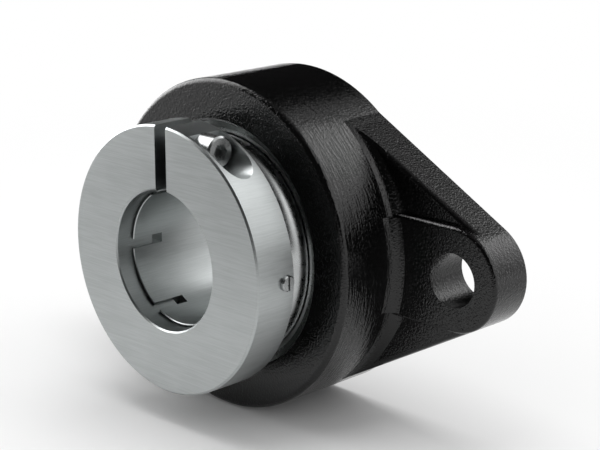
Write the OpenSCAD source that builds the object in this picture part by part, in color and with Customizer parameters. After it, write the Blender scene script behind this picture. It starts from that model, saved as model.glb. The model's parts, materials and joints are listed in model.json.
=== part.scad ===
// Two-bolt flange bearing unit with a split clamp collar.
// The shaft runs along Y. The mounting face lies in the plane y = 0 and the collar looks
// towards -Y. The two bolts are on the X axis and +Z is up.

/* [Housing casting] */
// Distance between the two bolt holes
bolt_spacing = 130; // [126:1:136]
// Diameter of each bolt hole
bolt_hole_d = 14.5; // [12:0.5:16]
// Diameter of the round end of each bolt lug
lug_d = 28; // [26:0.5:31]
// Width of the flange plate, between its straight sides, at the shaft axis
plate_w = 90.6; // [89:0.2:91]
// Thickness of the flange at the bolt pads
flange_t = 12.7; // [11:0.1:14]
// Depth of the web below the pad beside it, where it leaves the drum
web_root_drop = 0.6; // [0.4:0.1:1.1]
// Depth of the web below the pad at the bolt
web_tip_drop = 2.6; // [1.7:0.1:3.2]
// Radius of the pads' top edges
pad_edge_r = 1; // [0.6:0.1:1.6]
// Radius of the webs' outer edges
web_edge_r = 1.3; // [0.6:0.1:2]
// Diameter of the drum that holds the insert
drum_d = 91.7; // [91.2:0.1:95]
// Height of the drum above the mounting face
drum_h = 32; // [31.6:0.1:33]
// Radius of the drum's front edge
drum_edge_r = 1.5; // [1:0.1:3]
// Radius of the fillet at the foot of the drum
root_fillet_r = 4; // [2:0.5:5]
// How far the drum's mouth reaches in over the insert at its front face
mouth_lip = 1; // [0.5:0.1:1.2]
// Radial gap between the insert and the recess behind it
rear_recess_gap = 0.6; // [0.4:0.1:2]
// Depth of the recess behind the insert
rear_recess_depth = 9; // [8:0.5:9.4]

/* [Insert bearing] */
// Diameter of the shaft bore
bore_d = 36.52; // [35.5:0.02:37.5]
// Thickness of the inner ring beside its groove
inner_ring_wall = 4.84; // [4.6:0.02:5]
// Depth of the ball groove in each ring
groove_depth = 1.946; // [1.7:0.002:2.1]
// Thickness of the outer ring under its groove
outer_ring_wall = 3.654; // [3.4:0.002:3.8]
// Height of the insert's centre above the mounting face
insert_h = 20.5; // [20.2:0.1:20.8]
// Width of the outer ring
outer_ring_w = 19; // [18.8:0.1:19.4]
// Radius of the outer ring's outer corners
outer_ring_edge = 0.6; // [0.3:0.1:0.8]
// Diameter of each ball
ball_d = 11.112; // [10.8:0.05:11.3]
// Number of balls
ball_count = 9; // [9:1:9]
// Overall width of the inner ring
inner_ring_w = 45; // [44.6:0.1:45.4]
// Height of the inner ring's rear end above the mounting face
inner_ring_rear = 3.1; // [2.8:0.1:3.2]

/* [Slotted end of the inner ring] */
// Thickness of the slotted end's wall
sleeve_wall = 0.79; // [0.77:0.01:1.1]
// Number of slots
finger_slots = 6; // [6:1:6]
// Width of each slot
finger_slot_w = 2.7; // [2.6:0.1:3.5]
// Length of each slot
finger_slot_len = 10.1; // [9:0.1:11]
// Bevel on the outer edge of the slotted end
sleeve_outer_bevel = 0.5; // [0.2:0.05:0.5]
// Bevel on the bore's edges
bore_bevel = 0.2; // [0.1:0.05:0.25]

/* [Cage] */
// Thickness of the cage sheet
cage_t = 0.7; // [0.5:0.05:0.7]
// Radial width of the cage band
cage_w = 4.8; // [4:0.1:5.4]
// Gap between a ball and its pocket
pocket_gap = 0.3; // [0.2:0.05:0.3]
// Diameter of each rivet
rivet_d = 1.8; // [1.4:0.1:2]
// Diameter of each rivet head
rivet_head_d = 3; // [2.6:0.1:3.4]
// Height of each rivet head
rivet_head_h = 0.6; // [0.4:0.1:0.9]

/* [Seals and flingers] */
// Radial width of the ledge that each seal sits on
seal_ledge = 1.9; // [1.7:0.05:2.1]
// Depth of the recess for the seal in each end of the outer ring
seal_recess_depth = 2.6; // [2.4:0.1:2.6]
// Thickness of the shield's sheet steel
shield_t = 0.8; // [0.6:0.05:1]
// Radial width of the rubber lip
lip_w = 3.1; // [2.4:0.1:4]
// Thickness of the lip's thin edge
lip_edge_t = 0.5; // [0.3:0.1:0.7]
// Radial distance from the rim of the seal's recess in to the flinger
flinger_margin = 1.2; // [1.2:0.1:1.6]
// Thickness of the flinger's sheet steel
flinger_t = 0.8; // [0.6:0.05:1]
// Distance from the outer ring's end to the flinger's rim
flinger_rim_gap = 0.3; // [0.3:0.05:0.5]
// Radial width of the flinger's flat crown, inside its domed shoulder
flinger_crown_w = 1; // [0.9:0.1:3]
// Distance from the front flinger's crown to the shoulder behind the collar
front_flinger_setback = 2.9; // [2.8:0.1:3.4]
// Distance from the rear flinger's crown to the inner ring's rear end
rear_flinger_setback = 0.4; // [0.3:0.1:0.8]

/* [Clamp collar] */
// Outside diameter of the collar
collar_od = 73; // [72:0.5:76]
// Width of the collar
collar_w = 12.9; // [12.5:0.1:13.5]
// How far the collar stands out past the inner ring
collar_overhang = 5.3; // [5:0.1:5.6]
// Bevel on the collar's outer edges
collar_bevel = 0.5; // [0.3:0.1:1]
// Bevel on the edges of the collar's bore
collar_bore_bevel = 0.4; // [0.2:0.1:0.8]
// Width of the split
split_w = 4.3; // [3:0.1:5]
// Depth of the clamp screw's axis below the collar's rim
clamp_screw_depth = 5.5; // [5.3:0.1:5.9]
// Distance from the split's middle to the seat under the screw head
screw_seat_x = 9.9; // [9:0.1:10.5]
// Gap around the screw head in its pocket
pocket_clearance = 0.95; // [0.6:0.05:1.2]

/* [Clamp screw] */
// Nominal diameter of the clamp screw
clamp_screw_d = 5; // [4:0.5:5]
// Length under the head
clamp_screw_len = 20; // [18:1:22]
// Diameter of the head
clamp_head_d = 8.5; // [8:0.1:9]
// Height of the head
clamp_head_h = 6.2; // [5:0.1:7]
// Width across flats of the hexagon socket
clamp_socket_w = 4; // [3:0.5:4.5]
// Depth of the hexagon socket
clamp_socket_depth = 2.5; // [2:0.1:3.5]

/* [Locating screw] */
// Diameter of the locating screw
locating_d = 4.2; // [3.5:0.1:4.6]
// Distance from the collar's rear face to the screw's axis
locating_setback = 3.2; // [3:0.1:4]
// How far the screw stands out of the collar
locating_stand = 1.1; // [0.6:0.1:1.5]
// Width of the screwdriver slot
driver_slot_w = 0.6; // [0.5:0.1:1]
// Depth of the screwdriver slot
driver_slot_depth = 0.9; // [0.5:0.1:1.2]
// Length of the plain point
locating_point_len = 5.5; // [4:0.5:7]

/* [Fits] */
// Radial gap between the outer ring and its seat
seat_gap = 0.05; // [0.03:0.01:0.08]
// Radial gap between a ball and each groove
race_gap = 0.04; // [0.03:0.01:0.06]
// Radial gap between the collar and the slotted end
collar_gap = 0.03; // [0.02:0.01:0.05]
// Gap between the collar and the inner ring's shoulder
shoulder_gap = 0.1; // [0.05:0.05:0.3]
// Radial gap around screws, rivets and pressed sheet parts
fit_gap = 0.03; // [0.02:0.01:0.05]
// Radial gap between a seal lip and the inner ring
lip_gap = 0.06; // [0.04:0.01:0.1]
// Radial gap around the clamp screw's clearance hole
screw_hole_gap = 0.25; // [0.2:0.05:0.4]
// Gap between the point of the locating screw and the sides of its slot
point_gap = 0.15; // [0.1:0.05:0.3]
// Extra width and diameter of the slots that let the insert into its seat
loading_gap = 0.3; // [0.2:0.05:0.5]

/* [Hidden] */

$fn = 96;
// Overrun of a cut past the face that it opens
over = 1;

bolt_x = bolt_spacing / 2;
lug_r = lug_d / 2;
plate_r = plate_w / 2;
drum_r = drum_d / 2;
// Direction from a lug's centre to the point where the straight side leaves the lug
side_angle = acos((plate_r - lug_r) / bolt_x);
// Length of the straight side, from the shaft's side to the lug
side_len = bolt_x * sin(side_angle);
web_fall = atan((web_tip_drop - web_root_drop) / side_len);
// The webs end short of the point where side and lug touch, and the fillet short of the side
sliver_guard = 0.6;
side_guard = 0.05;
// A fillet's arc is a little larger than its setback, so that it crosses both walls
fillet_overlap = 0.08;

// The insert is sized from its bore outwards
inner_ring_od = bore_d + 2 * inner_ring_wall;
sleeve_od = bore_d + 2 * sleeve_wall;
pitch_r = inner_ring_od / 2 - groove_depth + race_gap + ball_d / 2;
outer_groove_bottom = pitch_r + ball_d / 2 + race_gap;
outer_land_r = outer_groove_bottom - groove_depth;
insert_od = 2 * (outer_groove_bottom + outer_ring_wall);
seal_recess_r = outer_land_r + seal_ledge;

seat_r = insert_od / 2 + seat_gap;
mouth_r = insert_od / 2 - mouth_lip;
ring_front = inner_ring_rear + inner_ring_w;
collar_front = ring_front + collar_overhang;
collar_rear = collar_front - collar_w;
collar_mid = (collar_front + collar_rear) / 2;
shoulder_h = collar_rear - shoulder_gap;
collar_bore_r = sleeve_od / 2 + collar_gap;
locating_h = collar_rear + locating_setback;
clamp_screw_h = collar_od / 2 - clamp_screw_depth;

ball_r = ball_d / 2;
// A groove is a little rounder than its ball, 52 and 53 percent of the ball's diameter
inner_groove_r = 0.52 * ball_d;
outer_groove_r = 0.53 * ball_d;
inner_groove_at = pitch_r - ball_r - race_gap + inner_groove_r;
outer_groove_at = outer_groove_bottom - outer_groove_r;
ball_step = 360 / ball_count;
pocket_r = ball_r + pocket_gap;

lip_r = inner_ring_od / 2 + lip_w;
shield_r = seal_recess_r - fit_gap;
ring_half_w = outer_ring_w / 2;
shield_seat = ring_half_w - seal_recess_depth;
flinger_r = seal_recess_r - flinger_margin;
flinger_rim = ring_half_w + flinger_rim_gap;
front_crown = shoulder_h - insert_h - front_flinger_setback;
rear_crown = insert_h - inner_ring_rear - rear_flinger_setback;

// Drawn upright on the mounting face, then laid over so that its height points along -Y
module laid_on_wall() {
    rotate([90, 0, 0]) children();
}

// Puts a piece that is drawn around the insert's centre at its height, for the wall side mirrored
module at_insert(side) {
    laid_on_wall() translate([0, 0, insert_h]) mirror([0, 0, side < 0 ? 1 : 0]) children();
}

// Puts a piece that is drawn along Z on the clamp screw's axis, its head end towards +X
module on_clamp_axis() {
    laid_on_wall() translate([0, clamp_screw_h, collar_mid]) rotate([0, 90, 0]) children();
}

// The same for the locating screw, which points out of the collar's side
module on_locating_axis() {
    laid_on_wall() translate([0, 0, locating_h]) rotate([0, 90, 0]) children();
}

// Plan of the plate between the lugs' centres, drawn inside its straight sides
module plate_plan(inset) {
    c = cos(side_angle);
    s = sin(side_angle);
    end_r = lug_r - inset;
    mid_r = plate_r - inset;
    polygon([
        [bolt_x + end_r * c, end_r * s], [mid_r * c, mid_r * s],
        [-mid_r * c, mid_r * s], [-bolt_x - end_r * c, end_r * s],
        [-bolt_x - end_r * c, -end_r * s], [-mid_r * c, -mid_r * s],
        [mid_r * c, -mid_r * s], [bolt_x + end_r * c, -end_r * s]
    ]);
}

// Half section with a rounded top corner, for anything that stands on the wall
module rounded_section(width, height, edge_r) {
    square([width - edge_r, height]);
    square([width, height - edge_r]);
    translate([width - edge_r, height - edge_r]) circle(r = edge_r);
}

// Drum with a rounded front edge
module drum() {
    rotate_extrude() rounded_section(drum_r, drum_h, drum_edge_r);
}

// Raised pads: one bar from bolt to bolt, with round ends
module pads() {
    for (side = [-1, 1]) {
        translate([side * bolt_x, 0, 0]) rotate_extrude() rounded_section(lug_r, flange_t, pad_edge_r);
        mirror([0, side < 0 ? 1 : 0, 0]) translate([-bolt_x, 0, 0]) rotate([90, 0, 90])
            linear_extrude(bolt_spacing) rounded_section(lug_r, flange_t, pad_edge_r);
    }
}

// Web between a pad and one straight side, which falls away from the drum towards the bolt
module web() {
    inner = plate_r - 2 * lug_r;
    rotate(side_angle - 90) intersection() {
        translate([0, inner, -web_root_drop]) rotate([0, web_fall, 0])
            rotate([90, 0, 90]) linear_extrude(2 * bolt_x, center = true)
                rounded_section(plate_r - inner, flange_t, web_edge_r);
        translate([0, inner, 0]) cube([side_len - sliver_guard, plate_r, flange_t]);
    }
}

// The webs of all four straight sides
module webs() {
    for (side = [0, 1], end = [0, 1]) mirror([0, side, 0]) mirror([end, 0, 0]) web();
}

// Ring of fillet around the drum's foot, on a surface at the given height
module root_fillet(surface_h) {
    rotate_extrude() difference() {
        translate([drum_r - over, surface_h - over]) square(over + root_fillet_r);
        translate([drum_r + root_fillet_r, surface_h + root_fillet_r])
            circle(r = root_fillet_r + fillet_overlap);
    }
}

module housing() {
    foot_x = sqrt(pow(drum_r, 2) - pow(lug_r, 2));
    foot_run = foot_x * sin(side_angle) - lug_r * cos(side_angle);
    foot_h = flange_t - web_root_drop - tan(web_fall) * foot_run;
    color([0.07, 0.07, 0.075]) laid_on_wall() difference() {
        union() {
            drum();
            pads();
            webs();
            // Fillets around the drum's foot, on the webs and on the pads
            intersection() {
                root_fillet(foot_h);
                linear_extrude(drum_h) plate_plan(side_guard);
            }
            intersection() {
                root_fillet(flange_t);
                translate([-drum_d, pad_edge_r - lug_r, 0])
                    cube([2 * drum_d, 2 * (lug_r - pad_edge_r), drum_h]);
            }
        }
        // Ball-shaped seat and its mouth
        translate([0, 0, insert_h]) sphere(r = seat_r);
        translate([0, 0, drum_h - over]) cylinder(h = 2 * over, r1 = mouth_r - over, r2 = mouth_r + over);
        // Recess behind the insert, and the slots through which it is turned into its seat
        translate([0, 0, -over])
            cylinder(h = rear_recess_depth + over, r = insert_od / 2 + rear_recess_gap);
        intersection() {
            translate([0, 0, -over]) cylinder(h = insert_h + over, r = seat_r + loading_gap / 2);
            translate([-drum_r, -ring_half_w - loading_gap, -over])
                cube([drum_d, outer_ring_w + 2 * loading_gap, insert_h + over]);
        }
        for (side = [-1, 1])
            translate([side * bolt_x, 0, -over]) cylinder(h = flange_t + 2 * over, d = bolt_hole_d);
    }
}

module outer_ring() {
    color([0.62, 0.64, 0.65]) at_insert(1) rotate_extrude() difference() {
        intersection() {
            circle(d = insert_od);
            translate([0, -ring_half_w]) square([insert_od, outer_ring_w]);
            end_r = sqrt(pow(insert_od / 2, 2) - pow(ring_half_w, 2));
            reach = end_r - outer_ring_edge + ring_half_w;
            polygon([[0, -reach], [reach, 0], [0, reach]]);
        }
        translate([-over, -insert_od]) square([over + outer_land_r, 2 * insert_od]);
        translate([outer_groove_at, 0]) circle(r = outer_groove_r);
        for (side = [-1, 1])
            translate([0, side * (shield_seat + insert_od / 2)])
                square([2 * seal_recess_r, insert_od], center = true);
    }
}

module inner_ring() {
    bore_r = bore_d / 2;
    outer_r = inner_ring_od / 2;
    sleeve_r = sleeve_od / 2;
    color([0.66, 0.68, 0.69]) laid_on_wall() difference() {
        rotate_extrude() difference() {
            polygon([
                [bore_r + bore_bevel, inner_ring_rear], [outer_r - bore_bevel, inner_ring_rear],
                [outer_r, inner_ring_rear + bore_bevel], [outer_r, shoulder_h],
                [sleeve_r, shoulder_h], [sleeve_r, ring_front - sleeve_outer_bevel],
                [sleeve_r - sleeve_outer_bevel, ring_front], [bore_r + bore_bevel, ring_front],
                [bore_r, ring_front - bore_bevel], [bore_r, inner_ring_rear + bore_bevel]
            ]);
            translate([inner_groove_at, insert_h]) circle(r = inner_groove_r);
        }
        for (i = [0 : finger_slots - 1])
            rotate(i * 360 / finger_slots)
                translate([bore_r / 2, -finger_slot_w / 2, ring_front - finger_slot_len])
                    cube([outer_r, finger_slot_w, finger_slot_len + over]);
    }
}

module ball(i) {
    color([0.8, 0.81, 0.82]) at_insert(1)
        rotate(i * ball_step) translate([pitch_r, 0, 0]) sphere(r = ball_r);
}

// One pressed half of the cage: flat bridges with rivet holes, and a half cup over each ball
module cage_half(side) {
    color([0.55, 0.56, 0.58]) at_insert(side) difference() {
        intersection() {
            rotate_extrude() translate([pitch_r - cage_w / 2, 0]) square([cage_w, ball_d]);
            union() {
                translate([0, 0, -over]) cylinder(h = cage_t + over, r = pitch_r + cage_w);
                for (i = [0 : ball_count - 1])
                    rotate(i * ball_step) translate([pitch_r, 0, 0]) sphere(r = pocket_r + cage_t);
            }
        }
        for (i = [0 : ball_count - 1]) {
            rotate(i * ball_step) translate([pitch_r, 0, 0]) sphere(r = pocket_r);
            rotate((i + 0.5) * ball_step) translate([pitch_r, 0, -over])
                cylinder(h = cage_t + 2 * over, d = rivet_d + 2 * fit_gap);
        }
    }
}

module cage_rivets() {
    color([0.7, 0.7, 0.72]) at_insert(1) for (i = [0 : ball_count - 1])
        rotate((i + 0.5) * ball_step) translate([pitch_r, 0, 0]) rotate_extrude() {
            translate([0, -cage_t - rivet_head_h]) square([rivet_d / 2, 2 * (cage_t + rivet_head_h)]);
            for (side = [-1, 1]) translate([0, side * (cage_t + rivet_head_h / 2)])
                translate([rivet_head_d / 4, 0]) square([rivet_head_d / 2, rivet_head_h], center = true);
        }
}

// Steel shield pressed into the outer ring, with a rim that ends flush with the ring
module seal_shield(side) {
    color([0.75, 0.76, 0.77]) at_insert(side) rotate_extrude() {
        translate([lip_r, shield_seat]) square([shield_r - lip_r, shield_t]);
        translate([shield_r - shield_t, shield_seat]) square([shield_t, seal_recess_depth]);
    }
}

// Rubber lip held by the shield's inner edge, thinning towards the inner ring
module seal_lip(side) {
    tip_r = inner_ring_od / 2 + lip_gap;
    tip_end = shield_seat + shield_t + lip_edge_t;
    color([0.12, 0.12, 0.12]) at_insert(side) rotate_extrude() polygon([
        [lip_r, shield_seat], [lip_r, shield_seat + shield_t],
        [tip_r + lip_edge_t, tip_end], [tip_r, tip_end],
        [tip_r, shield_seat + shield_t], [tip_r + lip_edge_t, shield_seat]
    ]);
}

// Dished disc on the inner ring: a hub, a flat crown and a domed shoulder down to the rim
module flinger(side) {
    crown_h = side > 0 ? front_crown : rear_crown;
    hub_r = inner_ring_od / 2 + fit_gap;
    hub_len = 3;
    dome_r = flinger_r - inner_ring_od / 2 - flinger_crown_w;
    color([0.8, 0.81, 0.82]) at_insert(side) rotate_extrude() {
        difference() {
            rounded_section(flinger_r, crown_h, dome_r);
            rounded_section(flinger_r - flinger_t, crown_h - flinger_t, dome_r - flinger_t);
            translate([0, -flinger_r]) square([flinger_r + over, flinger_r + flinger_rim]);
            square([hub_r, crown_h + over]);
        }
        translate([hub_r, crown_h - hub_len]) square([flinger_t, hub_len]);
    }
}

module clamp_collar() {
    outer_r = collar_od / 2;
    screw_pocket_r = clamp_head_d / 2 + pocket_clearance;
    color([0.74, 0.76, 0.76]) difference() {
        laid_on_wall() rotate_extrude() polygon([
            [collar_bore_r + collar_bore_bevel, collar_rear], [outer_r - collar_bevel, collar_rear],
            [outer_r, collar_rear + collar_bevel], [outer_r, collar_front - collar_bevel],
            [outer_r - collar_bevel, collar_front], [collar_bore_r + collar_bore_bevel, collar_front],
            [collar_bore_r, collar_front - collar_bore_bevel],
            [collar_bore_r, collar_rear + collar_bore_bevel]
        ]);
        laid_on_wall() translate([-split_w / 2, 0, collar_rear - over])
            cube([split_w, collar_od, collar_w + 2 * over]);
        // Pocket for the screw head, scooped out of the rim
        on_clamp_axis() {
            translate([0, 0, screw_seat_x]) cylinder(h = collar_od, r = screw_pocket_r);
            translate([-screw_pocket_r, 0, screw_seat_x]) cube([2 * screw_pocket_r, collar_od, collar_od]);
            cylinder(h = collar_od, r = clamp_screw_d / 2 + screw_hole_gap);
            translate([0, 0, screw_seat_x - clamp_screw_len - over])
                cylinder(h = clamp_screw_len, r = clamp_screw_d / 2 + fit_gap);
        }
        on_locating_axis() cylinder(h = collar_od, r = locating_d / 2 + fit_gap);
    }
}

module clamp_screw() {
    head_r = clamp_head_d / 2;
    bevel = 0.5;
    color([0.68, 0.7, 0.71]) on_clamp_axis() translate([0, 0, screw_seat_x]) difference() {
        rotate_extrude() polygon([
            [0, -clamp_screw_len], [clamp_screw_d / 2 - bevel, -clamp_screw_len],
            [clamp_screw_d / 2, -clamp_screw_len + bevel], [clamp_screw_d / 2, 0],
            [head_r, 0], [head_r, clamp_head_h - bevel], [head_r - bevel, clamp_head_h], [0, clamp_head_h]
        ]);
        translate([0, 0, clamp_head_h - clamp_socket_depth])
            cylinder(h = clamp_socket_depth + over, d = clamp_socket_w / cos(30), $fn = 6);
    }
}

module locating_screw() {
    outer_r = collar_od / 2;
    screw_r = locating_d / 2;
    point_r = finger_slot_w / 2 - point_gap;
    point_tip = bore_d / 2 + bore_bevel;
    bevel = 0.3;
    color([0.7, 0.71, 0.72]) on_locating_axis() difference() {
        rotate_extrude() polygon([
            [0, point_tip], [point_r, point_tip], [point_r, point_tip + locating_point_len],
            [screw_r, point_tip + locating_point_len], [screw_r, outer_r + locating_stand - bevel],
            [screw_r - bevel, outer_r + locating_stand], [0, outer_r + locating_stand]
        ]);
        translate([-driver_slot_w / 2, -locating_d, outer_r + locating_stand - driver_slot_depth])
            cube([driver_slot_w, 2 * locating_d, driver_slot_depth + over]);
    }
}

housing();
outer_ring();
inner_ring();
ball(0);  // ball_1
ball(1);  // ball_2
ball(2);  // ball_3
ball(3);  // ball_4
ball(4);  // ball_5
ball(5);  // ball_6
ball(6);  // ball_7
ball(7);  // ball_8
ball(8);  // ball_9
cage_half(1);  // cage_front_half
cage_half(-1);  // cage_rear_half
cage_rivets();
seal_shield(1);  // front_seal_shield
seal_lip(1);  // front_seal_lip
seal_shield(-1);  // rear_seal_shield
seal_lip(-1);  // rear_seal_lip
flinger(1);  // front_flinger
flinger(-1);  // rear_flinger
clamp_collar();
clamp_screw();
locating_screw();
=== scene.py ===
import json
import math

import bpy
from mathutils import Matrix, Vector


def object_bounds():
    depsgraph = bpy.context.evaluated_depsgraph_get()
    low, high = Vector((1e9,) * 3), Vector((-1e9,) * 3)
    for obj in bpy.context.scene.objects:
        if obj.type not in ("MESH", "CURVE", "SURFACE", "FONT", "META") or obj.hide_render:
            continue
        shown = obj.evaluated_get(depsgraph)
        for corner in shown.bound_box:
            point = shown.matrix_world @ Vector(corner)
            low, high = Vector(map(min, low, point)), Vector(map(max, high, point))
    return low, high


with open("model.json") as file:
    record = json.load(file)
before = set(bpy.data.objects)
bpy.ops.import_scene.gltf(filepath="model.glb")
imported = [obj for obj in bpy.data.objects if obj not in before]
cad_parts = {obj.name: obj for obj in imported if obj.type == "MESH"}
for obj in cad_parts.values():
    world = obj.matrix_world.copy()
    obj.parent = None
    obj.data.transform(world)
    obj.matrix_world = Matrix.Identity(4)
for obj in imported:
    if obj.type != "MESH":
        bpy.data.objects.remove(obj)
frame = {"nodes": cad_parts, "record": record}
cad_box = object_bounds()

MM = 1000.0
DEGREES = 180.0 / math.pi
NO_TINT = (1.0, 1.0, 1.0)

# Camera, fitted to the photograph: place in metres, directions in degrees, lens in millimetres
CAMERA_AT = Vector((0.322564, -0.326904, 0.127206))
CAMERA_AZIMUTH = 44.793
CAMERA_ELEVATION = 15.545
SENSOR_WIDTH = 36.0
LENS = 100.149

# Sizes of the part that the finishes follow, in millimetres
DRUM_R = 45.85
COLLAR_R = 36.5
SPLIT_HALF = 2.15
SLEEVE_R = 19.05
SLEEVE_FRONT = -48.1

# The part of a noise's range over which a finish turns from its low value to its high one
NOISE_MIDDLE = (0.3, 0.7)

# Paint: grain in waves a millimetre, heights with the sand's as 1, depth of it all in millimetres
SAND_WAVES = 1.6
SPECK_WAVES = 1.9
SPECK_SHIFT = 40.0
SPECK_ONSET = (0.5, 0.72)
SPECK_HEIGHT = 0.3
MARK_WAVES_AROUND = 0.2
MARK_WAVES_ALONG_SHAFT = 1.35
MARK_HEIGHT = 1.4
SAND_LOST_ON_DRUM = 0.5
DRUM_WALL_REACH = 0.4
PATCH_WAVES = 0.06
PAINT_DEPTH = 0.11
PAINT_LEVELS = (0.0009, 0.0018)
PAINT_ROUGHNESS = (0.07, 0.11)
PAINT_SPECULAR = 0.43

# Brushed steel: waves a millimetre along X, Y and Z on a face, around and along the shaft on a
# side, depth of the lines in millimetres
FACE_LINE_WAVES = (0.09, 1.0, 3.2)
SIDE_LINE_WAVES = (2.6, 0.12)
LINE_DETAIL = 3.0
LINE_FINENESS = 0.6
LINE_DEPTH = 0.003
FACE_ONSET = (0.5, 0.8)
BRUSH_CLOUD_WAVES = 0.1
BRUSH_CLOUD_SHARE = 0.3
PALE_ONSET = (0.4, 0.9)
BRUSHED_LEVELS = (0.9, 1.08)
BRUSHED_TINT = (0.955, 1.0, 0.998)
# Colour of the painted deep shade, as a share of the steel's level
PAINTED_SHADE_LEVEL = 0.1

# Where painted shade darkens the split and the sleeve's bevel, in millimetres, and how much, with 1 as
# fully
SPLIT_MARGIN = 0.05
SPLIT_SHADE_TOP = (31.0, 35.5)
SPLIT_SHADE = 0.6
BEVEL_WIDTH = 0.46
BEVEL_BLUR = 0.04
BEVEL_SHADE_DEPTH = 1.5

# Plain steel: waves a millimetre, and its levels and roughness as shares of each piece's own
PLAIN_CLOUD_WAVES = 0.25
PLAIN_LEVELS = (0.9, 1.06)
PLAIN_ROUGHNESS = (0.85, 1.15)
PLAIN_TINT = (0.975, 1.0, 1.0)
OUTER_RING_TINT = (0.95, 1.0, 0.98)

# Rubber: waves a millimetre, depth in millimetres
RUBBER_WAVES = 3.0
RUBBER_DEPTH = 0.01
RUBBER_LEVELS = (0.012, 0.022)
RUBBER_ROUGHNESS = (0.45, 0.6)

# Studio, as metal and paint mirror it: bearings in degrees around the horizon from +X towards
# +Y, heights in degrees above it, levels with 1 as white
LEFT_PANEL_BEARING = 188.5
LEFT_PANEL_HALF = 28.5
LEFT_PANEL_HEIGHTS = (-14.0, 57.0)
LEFT_PANEL_LEVEL = 4.6
RIGHT_WALL_BEARING = 40.0
WALL_START = (-62.0, -54.0)
WALL_END = (53.0, 61.0)
WALL_LEAN = 0.9
WALL_LEAN_FROM = 35.0
WALL_RISE = (-56.0, -34.0)
WALL_RISE_LEVEL = 0.8
WALL_DIP = (-12.0, 4.0)
WALL_DIP_LEVEL = 0.6
WALL_FAR_SIDE = (10.0, 36.0)
WALL_FAR_LEVEL = 1.7
WALL_FOOT = (2.0, 24.0)
WALL_FOOT_SHARE = 0.55
WALL_TOP = (46.0, 80.0)
WALL_TOP_SHARE = 0.15
WALL_TOP_DROP = 14.0
SKIRT_BEARINGS = (40.0, 66.0)
SKIRT_HEIGHTS = (38.0, 66.0)
SKIRT_LEVEL = 0.65
CEILING_FROM = (52.0, 75.0)
CEILING_LEVEL = 0.15
FRONT_BEARING = -95.0
FRONT_REACH = (-48.0, 45.0)
FRONT_LEVEL = 0.02
DARKEST_LEVEL = 0.012
SOFT_LIGHT_LEVEL = 0.75

# Lamp: metres and watts
LAMP_AT = Vector((-0.08, 0.02, 0.9))
LAMP_SIDE = 0.75
LAMP_POWER = 4.8

# Floor: radius in metres, distances on it in millimetres, levels with 1 as white
FLOOR_R = 4.0
FLOOR_CORNERS = 96
FLOOR_GREY = 0.86
FADE_SEEN = (90.0, 450.0)
FADE_MIRRORED = (110.0, 220.0)
FLOOR_LEVEL = 0.8
FAR_FLOOR = (180.0, 400.0)
FAR_FLOOR_RISE = 0.35
DARK_FRONT_Y = (-250.0, -190.0)
DARK_FRONT_LEFT_X = (-310.0, -260.0)
DARK_FRONT_RIGHT_X = (100.0, 250.0)
DARK_FRONT_SHARE = 0.9


class Value:
    """An output of a shader node. Sums on it add Math nodes."""

    def __init__(self, shader, made, output=0):
        self.shader = shader
        self.made = made
        self.socket = made.outputs[output] if made.outputs else None

    def out(self, name):
        return Value(self.shader, self.made, name)

    def __add__(self, other):
        return self.shader.math("ADD", self, other)

    def __radd__(self, other):
        return self.shader.math("ADD", other, self)

    def __sub__(self, other):
        return self.shader.math("SUBTRACT", self, other)

    def __rsub__(self, other):
        return self.shader.math("SUBTRACT", other, self)

    def __mul__(self, other):
        return self.shader.math("MULTIPLY", self, other)

    def __rmul__(self, other):
        return self.shader.math("MULTIPLY", other, self)


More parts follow.
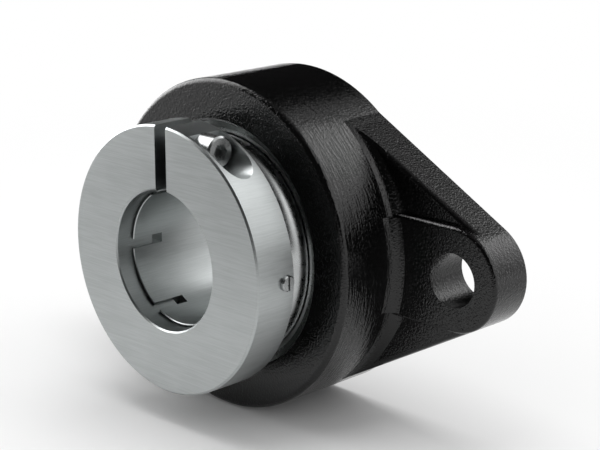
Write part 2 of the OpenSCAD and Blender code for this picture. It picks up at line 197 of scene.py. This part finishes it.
class Shader:
    """Builds the nodes of one material or of the world."""

    def __init__(self, tree):
        self.tree = tree
        tree.nodes.clear()

    def node(self, kind, settings=None, inputs=None):
        """Adds a node: its settings come first, then the values or links of its sockets."""
        made = self.tree.nodes.new(kind)
        for key, value in (settings or {}).items():
            setattr(made, key, value)
        for key, value in (inputs or {}).items():
            if isinstance(value, Value):
                self.tree.links.new(value.socket, made.inputs[key])
            else:
                made.inputs[key].default_value = value
        return Value(self, made)

    def math(self, operation, *values):
        return self.node("ShaderNodeMath", {"operation": operation}, dict(enumerate(values)))

    def distance(self, first, second):
        """Length of the straight line that spans two distances at a right angle."""
        return self.math("SQRT", first * first + second * second)

    def angle(self, across, along):
        return self.math("ARCTAN2", across, along)

    def coordinate(self, name):
        """A texture coordinate's x, y and z."""
        where = self.node("ShaderNodeTexCoord").out(name)
        split = self.node("ShaderNodeSeparateXYZ", None, {0: where})
        return [split.out(axis) for axis in "XYZ"]

    def place(self):
        """Position on the part at rest, in millimetres, as its x, y and z."""
        return [axis * MM for axis in self.coordinate("Object")]

    def rays(self):
        """1 where the camera looks straight at it, and 1 where a surface mirrors it."""
        kinds = self.node("ShaderNodeLightPath")
        return kinds.out("Is Camera Ray"), kinds.out("Is Glossy Ray") + kinds.out("Is Transmission Ray")

    def step(self, value, low, high, low_result=0.0, high_result=1.0):
        """Smooth step from low_result to high_result."""
        settings = {"interpolation_type": "SMOOTHSTEP"}
        limits = {"From Min": low, "From Max": high, "To Min": low_result, "To Max": high_result}
        return self.node("ShaderNodeMapRange", settings, {"Value": value, **limits})

    def fall(self, value, low, high):
        """Smooth step down, from 1 at low to 0 at high."""
        return self.step(value, low, high, 1.0, 0.0)

    def band(self, value, low, high, blur):
        """1 between low and high, 0 outside, with edges as soft as blur."""
        return self.step(value, low - blur, low + blur) * self.fall(value, high - blur, high + blur)

    def noise(self, x, y, z, detail, roughness=0.5):
        """Noise with one wave a unit of x, y and z, from 0 to 1."""
        where = self.node("ShaderNodeCombineXYZ", None, {"X": x, "Y": y, "Z": z})
        grain = {"Vector": where, "Scale": 1.0, "Detail": detail, "Roughness": roughness}
        return self.node("ShaderNodeTexNoise", {"noise_dimensions": "3D"}, grain)

    def even_noise(self, place, waves, detail):
        """Noise with the same waves a millimetre along x, y and z."""
        x, y, z = place
        return self.noise(x * waves, y * waves, z * waves, detail)

    def bump(self, height, depth):
        """A tilt of the surface, as a height from 0 to 1 gives it at a depth in millimetres."""
        links = {"Height": height, "Distance": depth / MM, "Strength": 1.0}
        return self.node("ShaderNodeBump", None, links)

    def mix_colors(self, factor, first, second):
        """First colour at factor 0, second at 1."""
        links = {"Factor": factor, 6: first, 7: second}
        return self.node("ShaderNodeMix", {"data_type": "RGBA"}, links).out(2)

    def greys(self, factor, levels, tint=NO_TINT):
        """A grey at the first of two levels at factor 0, and at the second at 1."""
        low, high = levels
        return self.mix_colors(factor, grey(low, tint), grey(high, tint))

    def surface(self, **inputs):
        """The Principled surface, with its sockets named by words."""
        names = {key.replace("_", " "): value for key, value in inputs.items()}
        made = self.node("ShaderNodeBsdfPrincipled", None, names)
        self.node("ShaderNodeOutputMaterial", None, {"Surface": made})


def finish(name):
    material = bpy.data.materials.new(name)
    material.use_nodes = True
    return material, Shader(material.node_tree)


def grey(level, tint=NO_TINT):
    return (level * tint[0], level * tint[1], level * tint[2], 1.0)


def shares_of(whole, shares):
    return [whole * share for share in shares]


def cast_paint():
    """Semi-gloss black paint over a sand-cast surface, with long marks around the drum."""
    material, s = finish("cast_paint")
    place = s.place()
    x, y, z = place
    around = s.angle(z, x) * DRUM_R
    wall = (DRUM_R - DRUM_WALL_REACH, DRUM_R + DRUM_WALL_REACH)
    on_drum = s.band(s.distance(x, z), *wall, blur=0.2)
    sand = s.even_noise(place, SAND_WAVES, detail=2.0)
    speck_place = (x * SPECK_WAVES + SPECK_SHIFT, y * SPECK_WAVES, z * SPECK_WAVES)
    specks = s.step(s.noise(*speck_place, detail=1.0), *SPECK_ONSET)
    marks = s.noise(around * MARK_WAVES_AROUND, y * MARK_WAVES_ALONG_SHAFT, 0.0, detail=2.0)
    patches = s.even_noise(place, PATCH_WAVES, detail=1.0)
    sand_height = sand * (1.0 - on_drum * SAND_LOST_ON_DRUM)
    height = sand_height + specks * SPECK_HEIGHT + marks * on_drum * MARK_HEIGHT
    s.surface(
        Base_Color=s.greys(sand, PAINT_LEVELS),
        Roughness=s.step(patches, *NOISE_MIDDLE, *PAINT_ROUGHNESS),
        Specular_IOR_Level=PAINT_SPECULAR,
        Normal=s.bump(height, PAINT_DEPTH),
    )
    return material


def split_painted_shade(s, place):
    """Painted shade on the two walls of the collar's split, above the shaft, darker inwards from the rim.
    """
    across, _, up = place
    between = s.band(across, -SPLIT_HALF - SPLIT_MARGIN, SPLIT_HALF + SPLIT_MARGIN, blur=0.02)
    return between * s.step(up, 0.0, 1.0) * s.step(up, *SPLIT_SHADE_TOP, SPLIT_SHADE, 0.0)


def sleeve_bevel_painted_shade(s, place):
    """Painted shade on the bevel around the sleeve's front end, where the collar's bore shades it."""
    x, y, z = place
    inner_edge = SLEEVE_R - BEVEL_WIDTH
    outside = s.step(s.distance(x, z), inner_edge, inner_edge + BEVEL_BLUR)
    return outside * s.fall(y, SLEEVE_FRONT, SLEEVE_FRONT + BEVEL_SHADE_DEPTH)


def brush_lines(s, place):
    """Fine lines along X on flat faces, and along the shaft on round sides."""
    x, y, z = place
    on_face = s.step(s.math("ABSOLUTE", s.coordinate("Normal")[1]), *FACE_ONSET)
    face_place = [axis * waves for axis, waves in zip(place, FACE_LINE_WAVES)]
    around_waves, along_waves = SIDE_LINE_WAVES
    around = s.angle(z, x) * COLLAR_R
    side_place = (around * around_waves, y * along_waves, s.distance(x, z))
    on_faces = s.noise(*face_place, LINE_DETAIL, LINE_FINENESS)
    on_sides = s.noise(*side_place, LINE_DETAIL, LINE_FINENESS)
    return on_faces * on_face + on_sides * (1.0 - on_face)


def brushed_steel(name, level, roughness, painted_shade_part):
    """Bright brushed steel, with painted deep shade darkening the colour of one part of it."""
    material, s = finish(name)
    place = s.place()
    lines = brush_lines(s, place)
    cloud = s.even_noise(place, BRUSH_CLOUD_WAVES, detail=2.0)
    pale = s.step(lines + cloud * BRUSH_CLOUD_SHARE, *PALE_ONSET)
    color = s.greys(pale, shares_of(level, BRUSHED_LEVELS), BRUSHED_TINT)
    # Painted shade: a deep grey colour stands in for the shade on the chosen part.
    painted_deep_shade = grey(level * PAINTED_SHADE_LEVEL, BRUSHED_TINT)
    s.surface(
        Base_Color=s.mix_colors(painted_shade_part(s, place), color, painted_deep_shade),
        Metallic=1.0,
        Roughness=s.step(lines, *NOISE_MIDDLE, *roughness),
        Normal=s.bump(lines, LINE_DEPTH),
    )
    return material


def plain_steel(name, level, roughness, tint=PLAIN_TINT):
    """Ground or pressed steel with a faint cloud in its shine."""
    material, s = finish(name)
    cloud = s.even_noise(s.place(), PLAIN_CLOUD_WAVES, detail=3.0)
    s.surface(
        Base_Color=s.greys(cloud, shares_of(level, PLAIN_LEVELS), tint),
        Metallic=1.0,
        Roughness=s.step(cloud, *NOISE_MIDDLE, *shares_of(roughness, PLAIN_ROUGHNESS)),
    )
    return material


def seal_rubber():
    """Black rubber with a fine, dull grain."""
    material, s = finish("seal_rubber")
    grain = s.even_noise(s.place(), RUBBER_WAVES, detail=3.0)
    s.surface(
        Base_Color=s.greys(grain, RUBBER_LEVELS),
        Roughness=s.step(grain, *NOISE_MIDDLE, *RUBBER_ROUGHNESS),
        Normal=s.bump(grain, RUBBER_DEPTH),
    )
    return material


FINISHES = {
    "housing_paint": cast_paint(),
    # The split's walls and the sleeve's bevel get painted shade in their colour.
    "collar_steel": brushed_steel("collar_steel", 0.44, (0.32, 0.4), split_painted_shade),
    "inner_ring_steel": brushed_steel("inner_ring_steel", 0.44, (0.28, 0.36), sleeve_bevel_painted_shade),
    "outer_ring_steel": plain_steel("outer_ring_steel", 0.3, 0.25, OUTER_RING_TINT),
    "shield_steel": plain_steel("shield_steel", 0.5, 0.3),
    "flinger_steel": plain_steel("flinger_steel", 0.46, 0.26),
    "ball_steel": plain_steel("ball_steel", 0.55, 0.06),
    "cage_steel": plain_steel("cage_steel", 0.36, 0.3),
    "screw_steel": plain_steel("screw_steel", 0.36, 0.25),
    "seal_rubber": seal_rubber(),
}


def dress_nodes():
    for part in frame["record"]["subparts"]:
        piece = frame["nodes"][part["node"]]
        piece.data.materials.clear()
        piece.data.materials.append(FINISHES[part["material_slot"]])


def make_camera():
    a = math.radians(CAMERA_AZIMUTH)
    e = math.radians(CAMERA_ELEVATION)
    back = Vector((math.sin(a) * math.cos(e), -math.cos(a) * math.cos(e), math.sin(e)))
    right = Vector((math.cos(a), math.sin(a), 0.0))
    up = back.cross(right)
    turn = Matrix((right, up, back)).transposed().to_4x4()
    data = bpy.data.cameras.new("camera")
    data.sensor_width = SENSOR_WIDTH
    data.lens = LENS
    camera = bpy.data.objects.new("camera", data)
    camera.matrix_world = Matrix.Translation(CAMERA_AT) @ turn
    bpy.context.scene.collection.objects.link(camera)
    bpy.context.scene.camera = camera


def bearing(s, x, y, middle):
    """Degrees around the horizon, counted from a middle direction."""
    turn = math.radians(middle)
    along = x * math.cos(turn) + y * math.sin(turn)
    across = y * math.cos(turn) - x * math.sin(turn)
    return s.angle(across, along) * DEGREES


def left_panel(s, from_left, height):
    """The brightest panel, upright on the left."""
    sides = s.band(from_left, -LEFT_PANEL_HALF, LEFT_PANEL_HALF, blur=2.0)
    return sides * s.band(height, *LEFT_PANEL_HEIGHTS, blur=4.0) * LEFT_PANEL_LEVEL


def right_wall_and_skirt(s, from_right, height):
    """A tall lit wall whose far edge leans over, and the dim patch beside its top."""
    far_side = s.step(from_right, *WALL_FAR_SIDE)
    lean = s.math("MAXIMUM", height - WALL_LEAN_FROM, 0.0) * WALL_LEAN
    wall = s.step(from_right, *WALL_START) * s.fall(from_right + lean, *WALL_END)
    level = 1.0 + s.step(from_right, *WALL_RISE) * WALL_RISE_LEVEL
    level = level - s.step(from_right, *WALL_DIP) * WALL_DIP_LEVEL
    level = (level + far_side * WALL_FAR_LEVEL) * s.step(height, *WALL_FOOT, WALL_FOOT_SHARE, 1.0)
    top = s.step(height + far_side * WALL_TOP_DROP, *WALL_TOP, 1.0, WALL_TOP_SHARE)
    skirt = s.band(from_right, *SKIRT_BEARINGS, blur=5.0) * s.band(height, *SKIRT_HEIGHTS, blur=6.0)
    return wall * level * top + skirt * (1.0 - wall) * SKIRT_LEVEL


def make_world():
    """White where it is seen, soft grey as a light, and a studio where metal and paint mirror it."""
    world = bpy.data.worlds.new("studio")
    bpy.context.scene.world = world
    world.use_nodes = True
    world.cycles.sampling_method = "NONE"
    s = Shader(world.node_tree)
    x, y, z = s.coordinate("Generated")
    height = s.math("ARCSINE", z) * DEGREES
    from_left = bearing(s, x, y, LEFT_PANEL_BEARING)
    from_right = bearing(s, x, y, RIGHT_WALL_BEARING)
    from_front = bearing(s, x, y, FRONT_BEARING)
    panels = left_panel(s, from_left, height) + right_wall_and_skirt(s, from_right, height)
    front = s.band(from_front, *FRONT_REACH, blur=5.0) * FRONT_LEVEL
    ceiling = s.step(height, *CEILING_FROM) * CEILING_LEVEL
    mirrored = DARKEST_LEVEL + panels + front + ceiling
    straight, glossy = s.rays()
    strength = straight + glossy * mirrored + (1.0 - straight - glossy) * SOFT_LIGHT_LEVEL
    light = s.node("ShaderNodeBackground", None, {"Color": grey(1.0), "Strength": strength})
    s.node("ShaderNodeOutputWorld", None, {"Surface": light})


def make_lamp():
    """A square lamp overhead that no surface mirrors."""
    data = bpy.data.lights.new("top_light", "AREA")
    data.shape = "RECTANGLE"
    data.size = LAMP_SIDE
    data.size_y = LAMP_SIDE
    data.energy = LAMP_POWER
    lamp = bpy.data.objects.new("top_light", data)
    lamp.location = LAMP_AT
    lamp.rotation_euler = (-LAMP_AT).to_track_quat("-Z", "Y").to_euler()
    lamp.visible_glossy = False
    bpy.context.scene.collection.objects.link(lamp)


def make_floor():
    """A pale floor that fades into the white background away from the object."""
    at = (0.0, 0.0, cad_box[0][2])
    bpy.ops.mesh.primitive_circle_add(vertices=FLOOR_CORNERS, radius=FLOOR_R, fill_type="NGON", location=at)
    floor = bpy.context.object
    floor.name = "floor"
    material, s = finish("floor")
    material.cycles.emission_sampling = "NONE"
    x, y, _ = s.place()
    away = s.distance(x, y)
    straight, glossy = s.rays()
    dark_front = s.fall(y, *DARK_FRONT_Y) * s.step(x, *DARK_FRONT_LEFT_X) * s.fall(x, *DARK_FRONT_RIGHT_X)
    level = FLOOR_LEVEL + s.step(away, *FAR_FLOOR) * FAR_FLOOR_RISE
    glow = straight + glossy * (level * (1.0 - dark_front * DARK_FRONT_SHARE))
    fade = straight * s.step(away, *FADE_SEEN) + glossy * s.step(away, *FADE_MIRRORED)
    pale = s.node("ShaderNodeBsdfDiffuse", None, {"Color": grey(FLOOR_GREY)})
    white = s.node("ShaderNodeEmission", None, {"Color": grey(1.0), "Strength": glow})
    mixed = s.node("ShaderNodeMixShader", None, {0: fade, 1: pale, 2: white})
    s.node("ShaderNodeOutputMaterial", None, {"Surface": mixed})
    floor.data.materials.append(material)


make_camera()
make_world()
make_lamp()
make_floor()
dress_nodes()
bpy.context.scene.view_settings.view_transform = "Standard"
